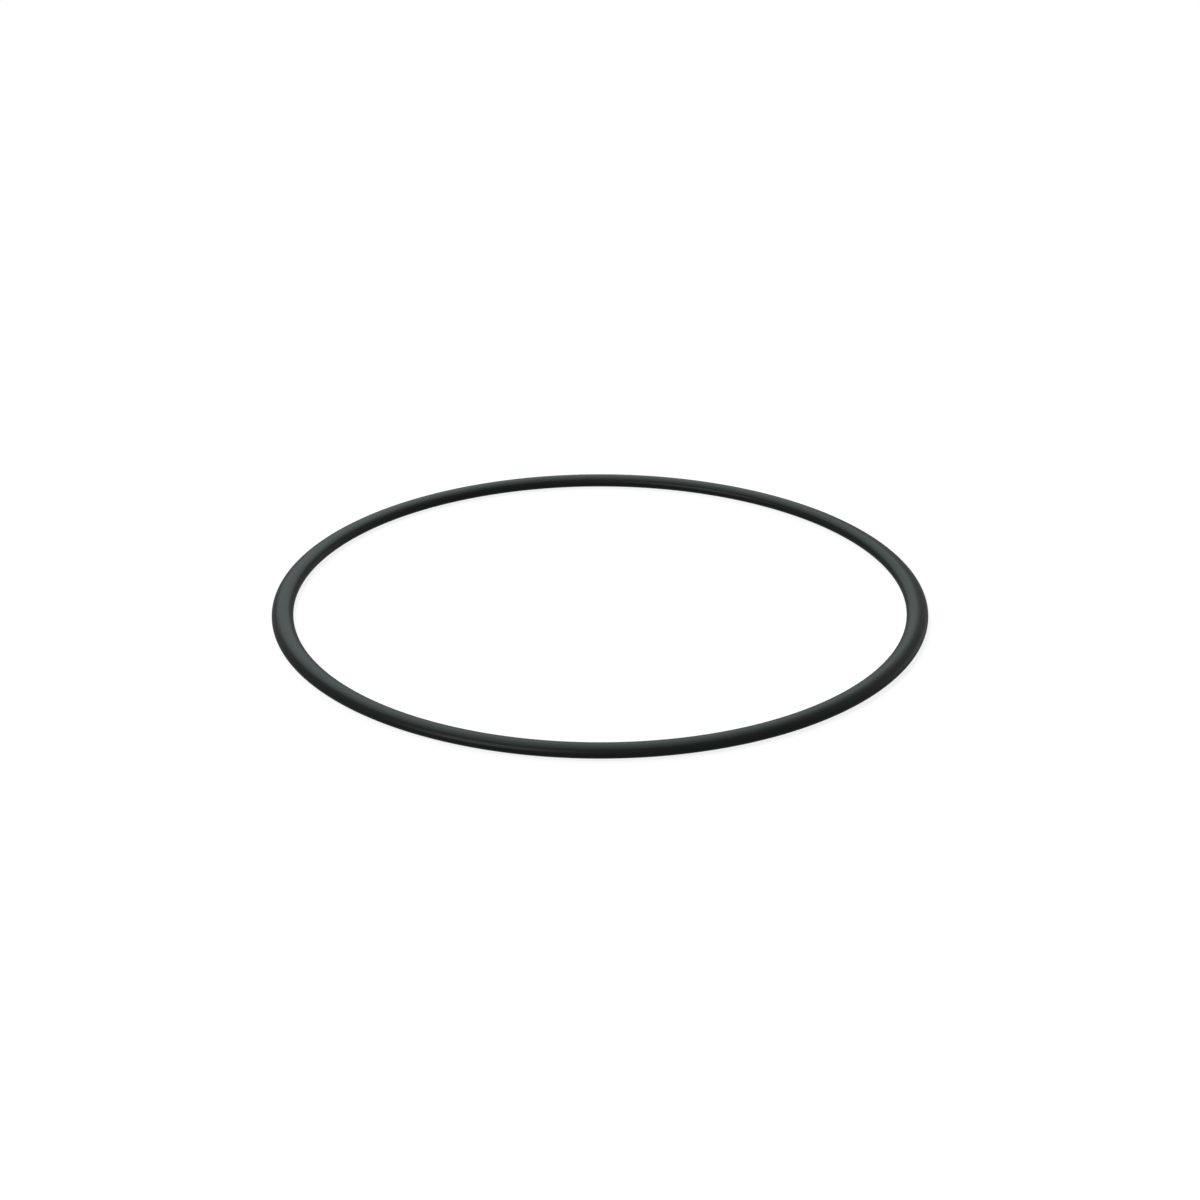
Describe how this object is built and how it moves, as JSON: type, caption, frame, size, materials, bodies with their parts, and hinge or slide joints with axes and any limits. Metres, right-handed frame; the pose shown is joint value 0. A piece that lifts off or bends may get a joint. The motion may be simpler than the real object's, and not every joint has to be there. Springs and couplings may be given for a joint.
{
  "type": "rubber o-ring",
  "caption": "Black rubber sealing ring, round in plan, with an oval section as pressed in its groove.",
  "frame": {"origin": "centre of the ring, on the surface that its lower crown lies on", "axes": "+Z along the ring's axis, from the lower crown to the upper one; X and Y in the plane of the ring, which is alike all round"},
  "size_m": [0.122, 0.122, 0.0022],
  "materials": {
    "rubber": "smooth moulded nitrile rubber, semi-matt black"
  },
  "bodies": {
    "root": {"o_ring": "rubber"}
  },
  "joints": []
}
